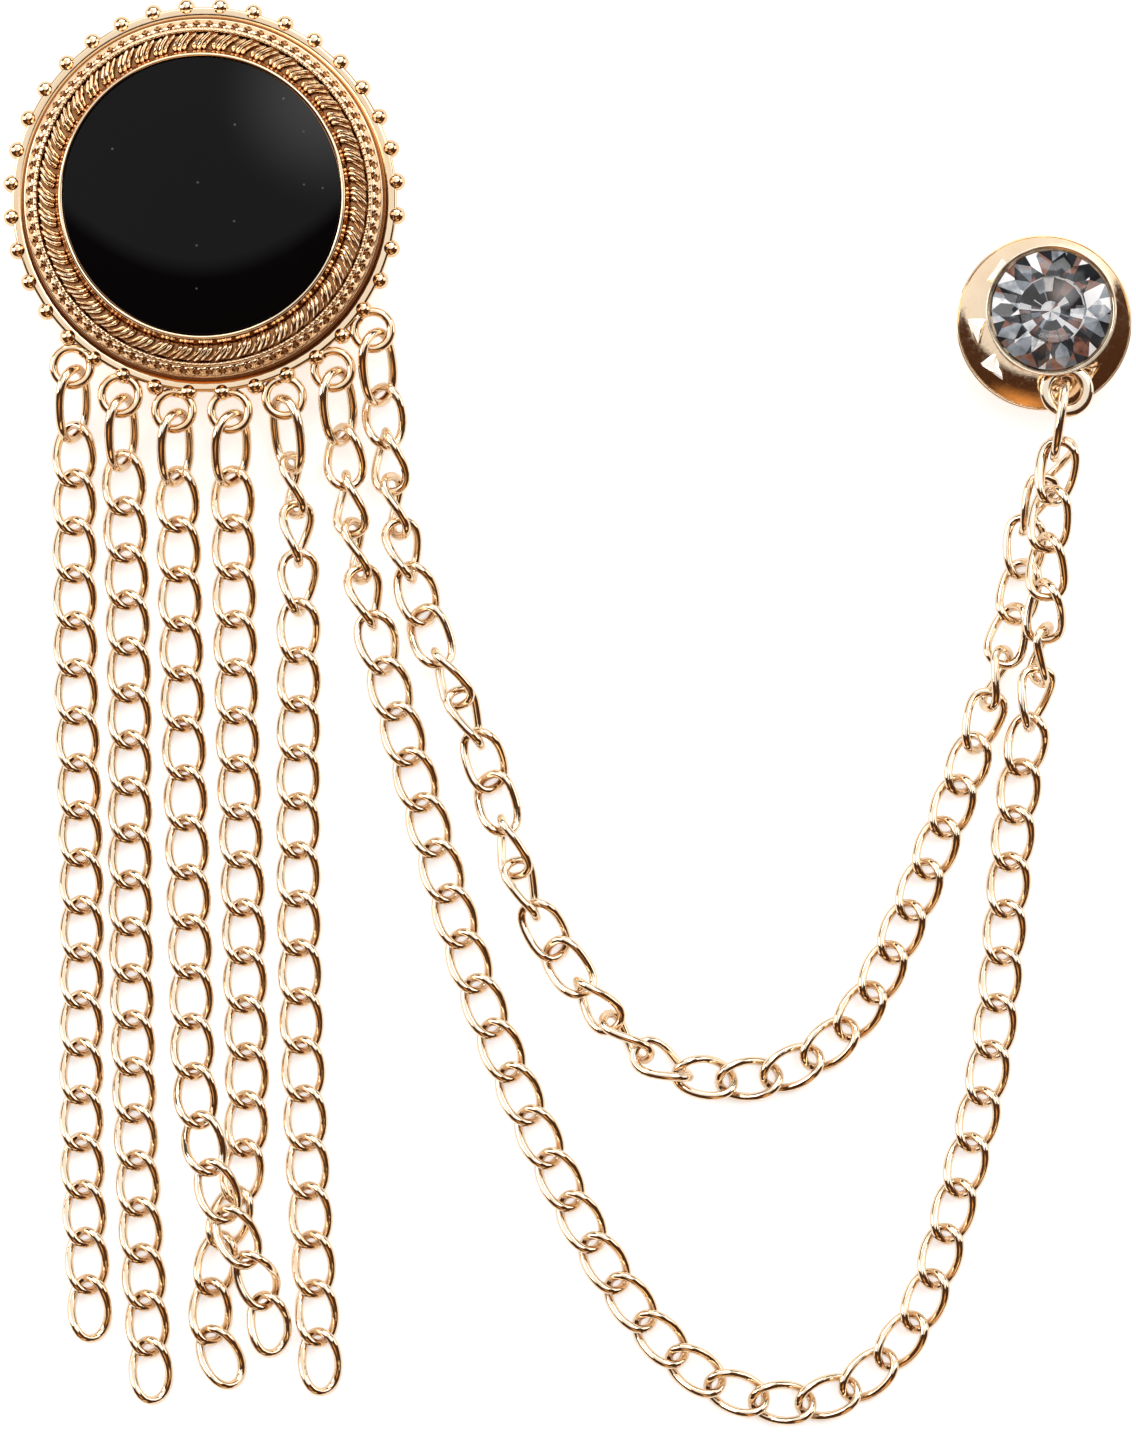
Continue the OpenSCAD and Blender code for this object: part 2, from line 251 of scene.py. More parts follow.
# Copies of the pattern in a circle about the centre, every one facing outward
def makeCopiesInCircle():
    tree, start, out = nodeGroup("copiesInCircle", "GeometryNodeTree", [
        ("Geometry", "Geometry"), ("Pattern", "Object"), ("Count", "Int"), ("Radius", "Float"), ("Height", "Float"),
        ("Phase", "Float"), ("Centre", "Vector"), ("Seed", "Int"), ("Material", "Material")],
        [("Geometry", "Geometry")])

    def alongZ(value):
        return addNode(tree, "ShaderNodeCombineXYZ", {"Z": value}).outputs[0]

    info = addNode(tree, "GeometryNodeObjectInfo", {"Object": start.outputs["Pattern"]})
    circle = addNode(tree, "GeometryNodeMeshCircle", {"Vertices": start.outputs["Count"],
                                                      "Radius": start.outputs["Radius"]})
    index = addNode(tree, "GeometryNodeInputIndex").outputs[0]
    angle = calc(tree, "MULTIPLY", calc(tree, "DIVIDE", index, start.outputs["Count"]), 2 * math.pi)
    rotate = addNode(tree, "FunctionNodeEulerToRotation", {"Euler": alongZ(angle)})
    place = addNode(tree, "GeometryNodeInstanceOnPoints", {
        "Points": circle.outputs["Mesh"], "Instance": info.outputs["Geometry"],
        "Rotation": rotate.outputs["Rotation"]})
    turnAll = addNode(tree, "GeometryNodeTransform", {
        "Geometry": place.outputs["Instances"], "Translation": alongZ(start.outputs["Height"]),
        "Rotation": alongZ(start.outputs["Phase"])})
    moveAll = addNode(tree, "GeometryNodeTransform", {"Geometry": turnAll.outputs["Geometry"],
                                                      "Translation": start.outputs["Centre"]})
    finishCopies(tree, start, out, moveAll.outputs["Geometry"])
    return tree


copiesOnPoints = makeCopiesOnPoints()
copiesInCircle = makeCopiesInCircle()


# The plain mesh that an object's modifiers make
def evaluatedMesh(obj):
    bpy.context.view_layer.update()
    graph = bpy.context.evaluated_depsgraph_get()
    mesh = bpy.data.meshes.new_from_object(obj.evaluated_get(graph))
    obj.modifiers.clear()
    return mesh


# Runs a tree on a carrier and returns the plain mesh object that it makes
def grow(name, carrier, tree, values):
    modifier = carrier.modifiers.new("copies", "NODES")
    modifier.node_group = tree
    ids = {s.name: s.identifier for s in tree.interface.items_tree if getattr(s, "in_out", "") == "INPUT"}
    for label, value in values.items():
        modifier[ids[label]] = value
    mesh = evaluatedMesh(carrier)
    bpy.data.objects.remove(carrier)
    mesh.name = name
    obj = bpy.data.objects.new(name, mesh)
    bpy.context.scene.collection.objects.link(obj)
    return obj


def inCircle(name, pattern, centre, count, radius, height, phase, seed, material):
    carrier = meshObject(name + "Carrier", [(0, 0, 0)], [])
    obj = grow(name, carrier, copiesInCircle, {
        "Pattern": pattern, "Count": count, "Radius": radius * mm, "Height": height * mm,
        "Phase": math.radians(phase), "Centre": (centre[0] * mm, centre[1] * mm, 0.0), "Seed": seed,
        "Material": material})
    bpy.data.objects.remove(pattern)
    return obj


# The pattern is kept, because more than one row may use it
def onPoints(name, pattern, places, seed, material):
    carrier = meshObject(name + "Carrier", [p for p, _ in places], [])
    attribute = carrier.data.attributes.new("turn", "FLOAT_VECTOR", "POINT")
    attribute.data.foreach_set("vector", [c for _, e in places for c in (e.x, e.y, e.z)])
    return grow(name, carrier, copiesOnPoints, {"Pattern": pattern, "Seed": seed, "Material": material})


# Joins finished plain meshes into one new object
def joined(name, parts):
    work = bmesh.new()
    materials = []
    for part in parts:
        offset = len(materials)
        materials.extend(part.data.materials)
        before = len(work.faces)
        work.from_mesh(part.data)
        work.faces.ensure_lookup_table()
        for face in work.faces[before:]:
            face.material_index += offset
    mesh = bpy.data.meshes.new(name)
    work.to_mesh(mesh)
    work.free()
    for material in materials:
        mesh.materials.append(material)
    for part in parts:
        bpy.data.objects.remove(part)
    obj = bpy.data.objects.new(name, mesh)
    bpy.context.scene.collection.objects.link(obj)
    return obj


def dress(obj, body, nodes=(), material=None):
    if material is not None:
        obj.data.materials.clear()
        obj.data.materials.append(material)
    if nodes:
        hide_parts(*nodes)
    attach(obj, body)
    print("piece", obj.name, len(obj.data.polygons), "faces")


finish = {"drift": 420, "driftRange": (0.35, 0.65), "skin": 3800, "skinRange": (0.45, 0.75), "copyWeight": 0.5,
          "shadeSamples": 6, "shadeRange": (0.15, 0.75), "bumpDepth": 0.02}


# Plated metal: two tones drifting over the surface, handling marks in the gloss, a faint skin in the relief
def makePlating():
    tree, start, out = nodeGroup("plating", "ShaderNodeTree", [
        ("Vector", "Vector"), ("Bright", "Color", (1, 0.7, 0.4, 1)), ("Deep", "Color", (0.9, 0.5, 0.2, 1)),
        ("Share", "Float", 0.5), ("Gloss", "Float", 0.15), ("Marks", "Float", 0.12)],
        [("Color", "Color"), ("Roughness", "Float"), ("Height", "Float")])
    drift = noise(tree, start.outputs["Vector"], finish["drift"], detail=4)
    skin = noise(tree, start.outputs["Vector"], finish["skin"], detail=2)
    spread = mapped(tree, drift, *finish["driftRange"], 0.0, 1 - finish["copyWeight"])
    blend = calc(tree, "MULTIPLY_ADD", start.outputs["Share"], finish["copyWeight"], spread)
    marks = mapped(tree, skin, *finish["skinRange"], 0.0, 1.0)
    feed(out, {"Color": mixed(tree, blend, start.outputs["Bright"], start.outputs["Deep"]),
               "Roughness": calc(tree, "MULTIPLY_ADD", marks, start.outputs["Marks"], start.outputs["Gloss"]),
               "Height": skin})
    return tree


plating = makePlating()


# Metal from the plating group. With a shade depth in mm, painted shade darkens its hollows and the gaps between parts
# towards the look's painted shade colour
def platedMetal(name, look):
    material, tree, shader, place = newMaterial(name)
    share = addNode(tree, "ShaderNodeAttribute", attribute_name="copyShare")
    group = addNode(tree, "ShaderNodeGroup", node_tree=plating)
    feed(group, {"Vector": place, "Share": share.outputs["Fac"], "Gloss": look["gloss"], "Marks": look["marks"],
                 "Bright": (*look["bright"], 1), "Deep": (*look["deep"], 1)})
    colour = group.outputs["Color"]
    if "shadeDepth" in look:
        paintedShade = addNode(tree, "ShaderNodeAmbientOcclusion", {"Distance": look["shadeDepth"] * mm},
                         samples=finish["shadeSamples"])
        shadeAmount = mapped(tree, paintedShade.outputs["AO"], *finish["shadeRange"], 1.0, 0.0)
        colour = mixed(tree, shadeAmount, colour, (*look["paintedShade"], 1))
    bump = addNode(tree, "ShaderNodeBump", {"Strength": look["bump"], "Distance": finish["bumpDepth"] * mm,
                                            "Height": group.outputs["Height"]})
    feed(shader, {"Metallic": 1.0, "Base Color": colour, "Roughness": group.outputs["Roughness"],
                  "Normal": bump.outputs["Normal"]})
    return material


# Chain, cast and rope looks carry a painted shade colour and the depth over which it darkens hollows and gaps
chainLook = {"bright": (1.0, 0.86, 0.67), "deep": (0.95, 0.74, 0.51), "gloss": 0.08, "marks": 0.06, "bump": 0.12,
             "shadeDepth": 0.9, "paintedShade": (0.42, 0.19, 0.07)}
castLook = {"bright": (1.0, 0.80, 0.55), "deep": (0.97, 0.67, 0.40), "gloss": 0.09, "marks": 0.05, "bump": 0.1,
            "shadeDepth": 0.2, "paintedShade": (0.34, 0.13, 0.05)}
# The rope strands take a lighter copy of the cast gold, painted light that brightens them
ropeLitLook = {"bright": (1.0, 0.87, 0.65), "deep": (1.0, 0.76, 0.50), "gloss": 0.13, "marks": 0.05, "bump": 0.1,
            "shadeDepth": 0.3, "paintedShade": (0.55, 0.20, 0.07)}
# Painted shade: a dark copy of the cast gold for the rope channel, the pits between the ribs and the groove at the
# foot of the drum
shadeLook = {"bright": (0.44, 0.21, 0.09), "deep": (0.30, 0.12, 0.05), "gloss": 0.14, "marks": 0.1, "bump": 0.3}
clutchLook = {"bright": (0.97, 0.78, 0.56), "deep": (0.90, 0.66, 0.43), "gloss": 0.08, "marks": 0.12, "bump": 0.15}
# The clutch teeth take a near-white copy of the clutch brass, a painted highlight
toothHighlightLook = {"bright": (1.0, 0.96, 0.90), "deep": (0.98, 0.90, 0.80), "gloss": 0.1, "marks": 0.08, "bump": 0.15}
studLook = {"bright": (0.98, 0.84, 0.66), "deep": (0.93, 0.74, 0.52), "gloss": 0.08, "marks": 0.08, "bump": 0.15}
pinLook = {"bright": (0.80, 0.70, 0.56), "deep": (0.68, 0.56, 0.42), "gloss": 0.24, "marks": 0.2, "bump": 0.4}
chainGold = platedMetal("chainGold", chainLook)
castGold = platedMetal("castGold", castLook)
ropeLitGold = platedMetal("ropeLitGold", ropeLitLook)
castShade = platedMetal("castShade", shadeLook)
clutchBrass = platedMetal("clutchBrass", clutchLook)
toothHighlight = platedMetal("toothHighlight", toothHighlightLook)
studGold = platedMetal("studGold", studLook)
pinMetal = platedMetal("pinMetal", pinLook)

gloss = {"stone": (0.0022, 0.0021, 0.0024), "dust": (0.13, 0.125, 0.12), "smear": 160, "smearRange": (0.35, 0.75),
         "roughness": (0.02, 0.07), "specks": 900, "speckSize": (0.03, 0.09), "speckShare": (0.5, 0.54),
         "specular": 0.14}


# Black glossy stone: faint smudges in the gloss and a few specks of dust
def blackGloss():
    material, tree, shader, place = newMaterial("blackGloss")
    smear = noise(tree, place, gloss["smear"], detail=5)
    specks = addNode(tree, "ShaderNodeTexVoronoi", {"Scale": gloss["specks"], "Vector": place}, feature="F1")
    dots = mapped(tree, specks.outputs["Distance"], *gloss["speckSize"], 1.0, 0.0)
    chosen = addNode(tree, "ShaderNodeSeparateColor", {"Color": specks.outputs["Color"]})
    dust = calc(tree, "MULTIPLY", dots, mapped(tree, chosen.outputs["Red"], *gloss["speckShare"], 0.0, 1.0))
    feed(shader, {"Base Color": mixed(tree, dust, (*gloss["stone"], 1), (*gloss["dust"], 1)),
                  "Roughness": mapped(tree, smear, *gloss["smearRange"], *gloss["roughness"]),
                  "Specular IOR Level": gloss["specular"]})
    return material


glass = {"cloud": 900, "tints": [(0.3, (0.97, 0.98, 0.99)), (0.7, (0.93, 0.94, 0.95))], "cloudRange": (0.45, 0.8),
         "roughness": (0.0, 0.012), "ior": 1.56}


# Clear cut glass with the faintest clouding
def clearGlass():
    material, tree, shader, place = newMaterial("cutGlass")
    cloud = noise(tree, place, glass["cloud"], detail=3)
    feed(shader, {"Base Color": coloured(tree, cloud, glass["tints"]),
                  "Roughness": mapped(tree, cloud, *glass["cloudRange"], *glass["roughness"]),
                  "Transmission Weight": 1.0, "IOR": glass["ior"]})
    return material


stoneBlack = blackGloss()
glassClear = clearGlass()
print("materials made")


link = {"wire": 0.58, "width": 2.94, "length": 4.54, "rise": 1.0, "cornerSteps": 6, "steps": 28, "sides": 10,
        "open": (1.0, 0.49), "full": (0.84, 0.44)}  # power and twist of the open and the full link
oval = {"wire": 0.62, "width": 3.6, "length": 5.4, "power": 0.85, "steps": 48, "sides": 14}
disc = {"centre": (-23.5, 33.4), "loops": 7, "loopRadius": 13.77, "loopFrom": 231.6, "loopStep": 15.1,
        "loopHeight": 3.0}
hang = {"reach": 4.1, "lift": 0.42, "top": (0.25, 0.3), "foot": 0.42, "spanSteps": 10,
        "rolls": [-58, -60, -55, -50, 55, -52, -50]}
# Each chain: its loop, count of links, route over the surface, and (link, roll in degrees) with even steps between
routes = {
    "tassel_1": (0, 19, [(-32, 4, 0), (-31.6, -12, 0), (-31.6, -27.5, 0), (-31, -40, 0)], [(1, 0), (19, 0)]),
    "tassel_2": (1, 20, [(-28.5, 2, 0), (-28.4, -13, 0), (-28, -29, 0), (-27, -44, 0)], [(1, 0), (20, 0)]),
    "tassel_3": (2, 18, [(-25, 0, 0), (-24.5, -16.5, 0), (-24.3, -24, 0.3), (-23.3, -29, 1.7), (-22, -32.5, 1.9),
                         (-20.6, -35.3, 1.8), (-19.5, -38.2, 0.5), (-19.2, -41, 0)], [(1, 5), (3, 0), (18, 0)]),
    "tassel_4": (3, 19, [(-21.5, 0, 0), (-21, -16, 0), (-21, -29, 0), (-22.8, -35, 0), (-23.3, -40, 0),
                         (-21.9, -43, 0)], [(1, 0), (19, 0)]),
    "tassel_5": (4, 19, [(-17.5, 10.5, 0), (-17.5, -11.5, 0), (-17, -27.5, 0), (-16, -43.5, 0)],
                 [(1, 90), (2, 120), (3, 145), (4, 170), (5, 180), (19, 180)]),
    "drape_inner": (6, 35, [(-11, 12.5, 0), (-8.5, 4, 0), (-6, -1, 0), (-2.5, -12, 0), (2.5, -19.5, 0), (7, -23, 0),
                            (13, -23.5, 0), (18, -20.5, 0), (21, -15.5, 0), (25.5, -4.5, 0), (28.2, 4, 0.2),
                            (29.6, 9.4, 0), (29.7, 12.6, 0.3), (30.7, 14.9, 1), (31.8, 17.4, 2.4)],
                    [(1, 0), (2, 45), (3, 90), (4, 135), (5, 180), (6, 180), (7, 240), (8, 300), (9, 360), (10, 360),
                     (12, 480), (13, 540), (14, 540), (18, 720), (28, 720), (29, 745), (30, 805), (31, 875),
                     (32, 890), (33, 905), (34, 960), (35, 960)]),
    "drape_outer": (5, 46, [(-13.5, 9.5, 0), (-9.5, -5.5, 0), (-5, -20, 0), (1.5, -34, 0), (7, -41.5, 0),
                            (12.5, -44.5, 0), (18, -44, 0), (22.5, -39.5, 0), (24.5, -34, 0), (27.5, -22, 0),
                            (29, -7, 0.1), (30.4, 2.3, 0.7), (30.8, 7.3, 3.3), (30.8, 10.8, 3.6), (31.1, 13.6, 4),
                            (31.6, 17.2, 4.5)],
                    [(1, 20), (2, 55), (3, 90), (4, 130), (5, 165), (6, 180), (40, 180), (41, 225), (42, 270),
                     (43, 330), (44, 330), (45, 345), (46, 370)])}
crowded = {"drape_inner": [(5, 14), (28, 35)], "drape_outer": [(40, 46)]}  # stretches of full links
studRing = {"top": (32, 21.5, 5.4), "foot": (31.3, 16.5, 4.6), "roll": 94}


def halfAxes(piece):
    return (piece["width"] - piece["wire"]) / 2, (piece["length"] - piece["wire"]) / 2


# Centre line of one corner of a bent link, for the height at which a rolled link rests
def bentCorner():
    a, b = halfAxes(link)
    h = link["rise"]
    before, corner, after = Vector((a, -b, -h)), Vector((a, b, h)), Vector((-a, b, -h))
    t = (corner - after).length / 2
    da = (before - corner).normalized()
    db = (after - corner).normalized()
    half = math.acos(da.dot(db)) / 2
    middle = corner + (da + db).normalized() * t / math.cos(half)
    x = (corner + da * t - middle).normalized()
    y = (-da).cross(db).normalized().cross(x)
    angle = math.pi - 2 * half
    arc = [angle * k / link["cornerSteps"] for k in range(link["cornerSteps"] + 1)]
    return [middle + (x * math.cos(w) + y * math.sin(w)) * t * math.tan(half) for w in arc]


# Closed centre line of an oval piece; a power under 1 makes it fuller, and a twist lifts its four quarters
def ovalLine(piece, power, twist=0.0):
    a, b = halfAxes(piece)
    line = []
    for w in turns(piece["steps"]):
        x, y = fullCircle(w, power)
        line.append(Vector((a * x, b * y, twist * math.sin(2 * w))))
    return line


bendPoints = bentCorner()


# Height of a rolled link's middle when it lies on the surface
def restHeight(roll):
    a = math.radians(roll)
    return link["wire"] / 2 + max(abs(p.z * math.cos(a) + m * p.x * math.sin(a)) for p in bendPoints for m in (1, -1))


# Value at x of a table of (x, y), straight between its rows
def between(table, x):
    if x <= table[0][0]:
        return table[0][1]
    for (x0, y0), (x1, y1) in zip(table, table[1:]):
        if x <= x1:
            return y0 + (y1 - y0) * (x - x0) / (x1 - x0)
    return table[-1][1]


# Smooth curve through all the points of a route
def smoothRoute(points):
    p = [Vector(q) for q in points]
    full = [p[0] * 2 - p[1]] + p + [p[-1] * 2 - p[-2]]
    out = []
    for i in range(1, len(full) - 2):
        a, b, c, d = full[i - 1:i + 3]
        for k in range(hang["spanSteps"]):
            t = k / hang["spanSteps"]
            out.append((b * 2 + (c - a) * t + (a * 2 - b * 5 + c * 4 - d) * t * t
                        + (b * 3 - a - c * 3 + d) * t ** 3) / 2)
    out.append(p[-1])
    return out


def loopAngle(k):
    return math.radians(disc["loopFrom"] + k * disc["loopStep"])


def loopAt(k):
    return Vector((*around(disc["centre"], disc["loopRadius"], loopAngle(k)), disc["loopHeight"]))


# The points at which a chain's links meet, at equal steps along its route
def chainJoints(route):
    k, count, points, rolls = route
    loop = loopAt(k)
    away = (Vector(points[0]).xy - loop.xy).normalized()
    start = (loop.x + hang["reach"] * away.x, loop.y + hang["reach"] * away.y, hang["lift"])
    line = smoothRoute([start] + list(points))
    lengths = [0.0]
    for p, q in zip(line, line[1:]):
        lengths.append(lengths[-1] + (q - p).length)
    tables = [[(s, p[axis]) for s, p in zip(lengths, line)] for axis in range(3)]
    joints = []
    for i in range(count + 1):
        x, y, z = (between(table, lengths[-1] * i / count) for table in tables)
        lift = max(restHeight(between(rolls, max(i, 1))), restHeight(between(rolls, min(i + 1, count))))
        joints.append(Vector((x, y, max(z, 0) + lift)))
    return joints


# Place and turn of a piece whose y runs from a to b, rolled about it
def aimed(a, b, roll):
    d = (b - a).normalized()
    x = d.cross(Vector((0, 0, 1))).normalized()
    z = x.cross(d)
    r = math.radians(roll)
    across = x * math.cos(r) - z * math.sin(r)
    up = z * math.cos(r) + x * math.sin(r)
    turn = Matrix((across, up.cross(across), up)).transposed()
    return (a + b) / 2, turn.to_euler("XYZ")


# Where the links turn or crowd together they are fuller
openLink = sweptRing("openLink", ovalLine(link, *link["open"]), link["wire"], link["sides"])
fullLink = sweptRing("fullLink", ovalLine(link, *link["full"]), link["wire"], link["sides"])
for seed, (node, route) in enumerate(routes.items()):
    joints = chainJoints(route)
    places = [aimed(joints[i], joints[i + 1], between(route[3], i + 1)) for i in range(route[1])]
    tight = {i for low, high in crowded.get(node, []) for i in range(low, high)}
    name = node.split("_")[0] + node.split("_")[1].title() + "Links"
    loose = [p for i, p in enumerate(places) if i not in tight]
    parts = [onPoints(name + "Open", openLink, loose, seed + 3, chainGold)]
    if tight:
        parts.append(onPoints(name + "Full", fullLink, [places[i] for i in sorted(tight)], seed + 13, chainGold))
    dress(joined(name, parts), "jewel", [node])
bpy.data.objects.remove(openLink)
bpy.data.objects.remove(fullLink)

ovalPattern = sweptRing("ovalPattern", ovalLine(oval, oval["power"]), oval["wire"], oval["sides"])
ringPlaces = []
for route in sorted(routes.values()):
    loop = loopAt(route[0])
    joint = chainJoints(route)[0]
    away = (joint.xy - loop.xy).normalized()
    inward, height = hang["top"]
    top = Vector((loop.x + inward * away.x, loop.y + inward * away.y, disc["loopHeight"] + height))
    foot = Vector((joint.x + hang["foot"] * away.x, joint.y + hang["foot"] * away.y, joint.z))
    ringPlaces.append(aimed(top, foot, hang["rolls"][route[0]]))
dress(onPoints("connectorRings", ovalPattern, ringPlaces, 21, chainGold), "jewel", ["connectors"])
studPlace = aimed(Vector(studRing["top"]), Vector(studRing["foot"]), studRing["roll"])
dress(onPoints("studRing", ovalPattern, [studPlace], 22, chainGold), "jewel", ["stud_connector"])
bpy.data.objects.remove(ovalPattern)
print("chains made")


cast = {"steps": 288, "ribs": 84, "ribRadius": 11.17, "ribHeight": 4.58, "ribSlope": 48, "grains": 168,
        "grainRadius": 10.77, "grainHeight": 5.0, "grainSize": 0.33, "grainMesh": (6, 8), "beads": 36,
        "beadRadius": 12.47, "beadHeight": 3.0, "beadSize": 1.16, "beadMesh": (14, 20), "beadTurn": 0.53,
        "loopRadius": 1.2, "loopWire": 0.6, "loopSteps": 40, "loopSides": 14, "rootInset": 1.3}
# Bands of the body painted with shade, in the rope channel, the slope under the ribs and the groove at the foot of
# the drum: least and greatest radius, least and greatest height
shadedBands = [(9.45, 10.58, 4.2, 9.0), (10.95, 11.2, 4.2, 9.0), (11.5, 11.64, 3.2, 3.7)]
centre = disc["centre"]


def arcPoints(r, z, radius, start, end, count):
    return [around((r, z), radius, math.radians(start + (end - start) * k / (count - 1))) for k in range(count)]


# Profile of the cast body from the middle of the back, round the edge and up into the stone's seat
bodyProfile = [(0, 2.65), (12.3, 2.65)] + arcPoints(12.3, 2.8, 0.15, -90, 0, 4) \
    + arcPoints(12.25, 3.17, 0.2, 0, 90, 5) + [(12.0, 3.36), (11.78, 3.32), (11.66, 3.24), (11.6, 3.3), (11.57, 3.5),
                                               (11.56, 3.68), (11.55, 4.0)] \
    + arcPoints(11.47, 4.14, 0.09, 0, 150, 6) + [(11.34, 4.1), (11.24, 4.14), (10.98, 4.55), (10.94, 4.8)] \
    + arcPoints(10.77, 4.9, 0.17, -5, 175, 9) + [(10.57, 4.75), (10.5, 4.62), (9.56, 4.62), (9.5, 4.95)] \
    + [(9.47, 5.2), (9.43, 5.36), (9.35, 5.5), (9.26, 5.68), (9.21, 5.9)] \
    + arcPoints(9.085, 5.915, 0.13, 0, 180, 9) \
    + [(8.955, 5.9), (8.955, 4.5), (0, 4.5)]
body = turned("medallionBody", bodyProfile, centre, cast["steps"])
body.data.materials.append(castGold)
body.data.materials.append(castShade)
for face in body.data.polygons:
    spot = face.center / mm
    away = math.hypot(spot.x - centre[0], spot.y - centre[1])
    if any(near < away < far and low < spot.z < high for near, far, low, high in shadedBands):
        face.material_index = 1

# Ribs on the slope, waisted so that a small pit, dark with painted shade, shows between each two
rib = barPattern("ribPattern", [(-0.42, 0.06, 0.04, -0.03, 0), (-0.38, 0.3, 0.13, -0.03, 0), (-0.28, 0.38, 0.2, 0, 0),
                                (-0.14, 0.23, 0.22, 0, 0), (0.05, 0.19, 0.22, 0, 0), (0.19, 0.29, 0.2, 0, 0),
                                (0.3, 0.38, 0.14, -0.02, 0), (0.36, 0.3, 0.08, -0.03, 0),
                                (0.4, 0.06, 0.03, -0.03, 0)], 12)
rib.data.transform(Matrix.Rotation(math.radians(cast["ribSlope"]), 4, "Y"))
ribs = inCircle("medallionRibs", rib, centre, cast["ribs"], cast["ribRadius"], cast["ribHeight"], 0, 31, castGold)

rope = {"turns": 48, "radius": 9.97, "height": 4.95, "size": 0.63, "apart": 0.36, "half": 0.185, "thick": 0.24,
        "spread": 0.38, "flat": 0.7, "shorter": 0.12, "lower": 0.05, "sides": 8, "ends": {0: 0.3, 1: 0.8},
        "path": [(-0.54, 0.2), (-0.49, 0.21), (-0.38, 0.22), (-0.2, 0.17), (0.0, 0.06), (0.2, -0.1), (0.38, -0.28),
                 (0.52, -0.42), (0.6, -0.5)]}


# One turn of the rope row: three thin strands side by side, near radial inside and leaning clockwise outside
def ropeTurn():
    parts = []
    path = rope["path"]
    for n in (-1, 0, 1):
        side = n * rope["apart"]
        stations = []
        for k, (x, y) in enumerate(path):
            rise = math.sqrt(max(rope["size"] ** 2 - (x * rope["flat"] if x > 0 else x) ** 2, 0.0))
            thin = rope["ends"].get(min(k, len(path) - 1 - k), 1.0)
            reach = 1.0 - rope["shorter"] * abs(n)
            drop = rope["thick"] * thin + rope["lower"] * abs(n)
            stations.append((x * reach, rope["half"] * thin, rope["thick"] * thin, rise - drop,
                             y + side * (1 + rope["spread"] * x)))
        parts.append(barPattern("strand", stations, rope["sides"]))
    return joined("ropeTurn", parts)


ropeRow = inCircle("medallionRope", ropeTurn(), centre, rope["turns"], rope["radius"], rope["height"], 0, 33,
                   ropeLitGold)

# Fine grains on the ridge between the ribs and the rope, and beads on the edge
grain = ballPattern("grainPattern", cast["grainSize"], *cast["grainMesh"])
grains = inCircle("medallionGrains", grain, centre, cast["grains"], cast["grainRadius"], cast["grainHeight"], 0, 34,
                  castGold)
bead = ballPattern("beadPattern", cast["beadSize"], *cast["beadMesh"])
beads = inCircle("medallionBeads", bead, centre, cast["beads"], cast["beadRadius"], cast["beadHeight"],
                 cast["beadTurn"] * 360 / cast["beads"], 35, castGold)


# A copy at each flat loop where a chain hangs, facing outward
def atLoops(name, pattern, seed, outward=0.0):
    places = []
    for k in range(disc["loops"]):
        a = loopAngle(k)
        p = loopAt(k) + Vector((outward * math.cos(a), outward * math.sin(a), 0))
        places.append((p, Matrix.Rotation(a, 3, "Z").to_euler("XYZ")))
    obj = onPoints(name, pattern, places, seed, castGold)
    bpy.data.objects.remove(pattern)
    return obj


loopLine = [(*around((0, 0), cast["loopRadius"], a), 0) for a in turns(cast["loopSteps"])]
loops = atLoops("medallionLoops", sweptRing("loopPattern", loopLine, cast["loopWire"], cast["loopSides"]), 36)
root = barPattern("rootPattern", [(-0.5, 0.5, 0.3, 0, 0), (0.0, 0.48, 0.3, 0, 0), (0.3, 0.4, 0.28, 0, 0),
                                  (0.45, 0.2, 0.15, 0, 0)], 14)
roots = atLoops("medallionRoots", root, 37, -cast["rootInset"])
dress(body, "jewel", ["medallion"])
for piece in (ribs, ropeRow, grains, beads, loops, roots):
    dress(piece, "jewel")

stone = {"radius": 8.9, "dome": 0.9, "rim": 6.0, "low": 4.55, "bevel": 0.02, "shoulder": (0.01, 0.05), "steps": 180,
         "radii": (8.87, 8.8, 8.6, 8.2, 7.4, 6.4, 5.2, 4, 2.8, 1.6, 0.7, 0)}
edge, dome, rim, low, bevel = (stone[key] for key in ("radius", "dome", "rim", "low", "bevel"))
ball = (edge ** 2 + dome ** 2) / (2 * dome)
top = rim + dome - ball
stoneProfile = [(0, low), (edge - bevel, low), (edge, low + bevel), (edge, rim - stone["shoulder"][1]),
                (edge - stone["shoulder"][0], rim - bevel)] \
    + [(r, top + math.sqrt(ball * ball - r * r)) for r in stone["radii"]]
dress(turned("blackStone", stoneProfile, centre, stone["steps"]), "jewel", ["black_stone"], stoneBlack)
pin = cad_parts["brooch_pin"]
pin.data.materials.clear()
pin.data.materials.append(pinMetal)
print("medallion made")


stud = {"cup": (31, 26.05), "tab": (32.1, 21), "tabRadius": 1.325, "tabHalf": (0.42, 0.32), "tabHeight": 4.525,
        "tabPower": 0.6, "tabSteps": 48, "tabSides": 16, "post": (30.8, 25.5), "postSteps": 40, "steps": 160}
cupProfile = [(0, 4.2), (3.55, 4.2), (3.64, 4.25), (3.74, 4.6), (3.9, 5.2), (4.1, 5.75), (4.19, 5.95)] \
    + arcPoints(4.13, 6.02, 0.065, 0, 170, 6) + [(4.05, 5.98), (3.97, 5.95), (3.92, 5.9), (3.895, 5.78), (3.65, 5.6),
                                                 (1.2, 4.82), (0, 4.82)]
postProfile = [(0, 0.6), (0.15, 0.62), (0.3, 0.9), (0.52, 1.36), (0.55, 1.45), (0.55, 4.4), (0, 4.4)]


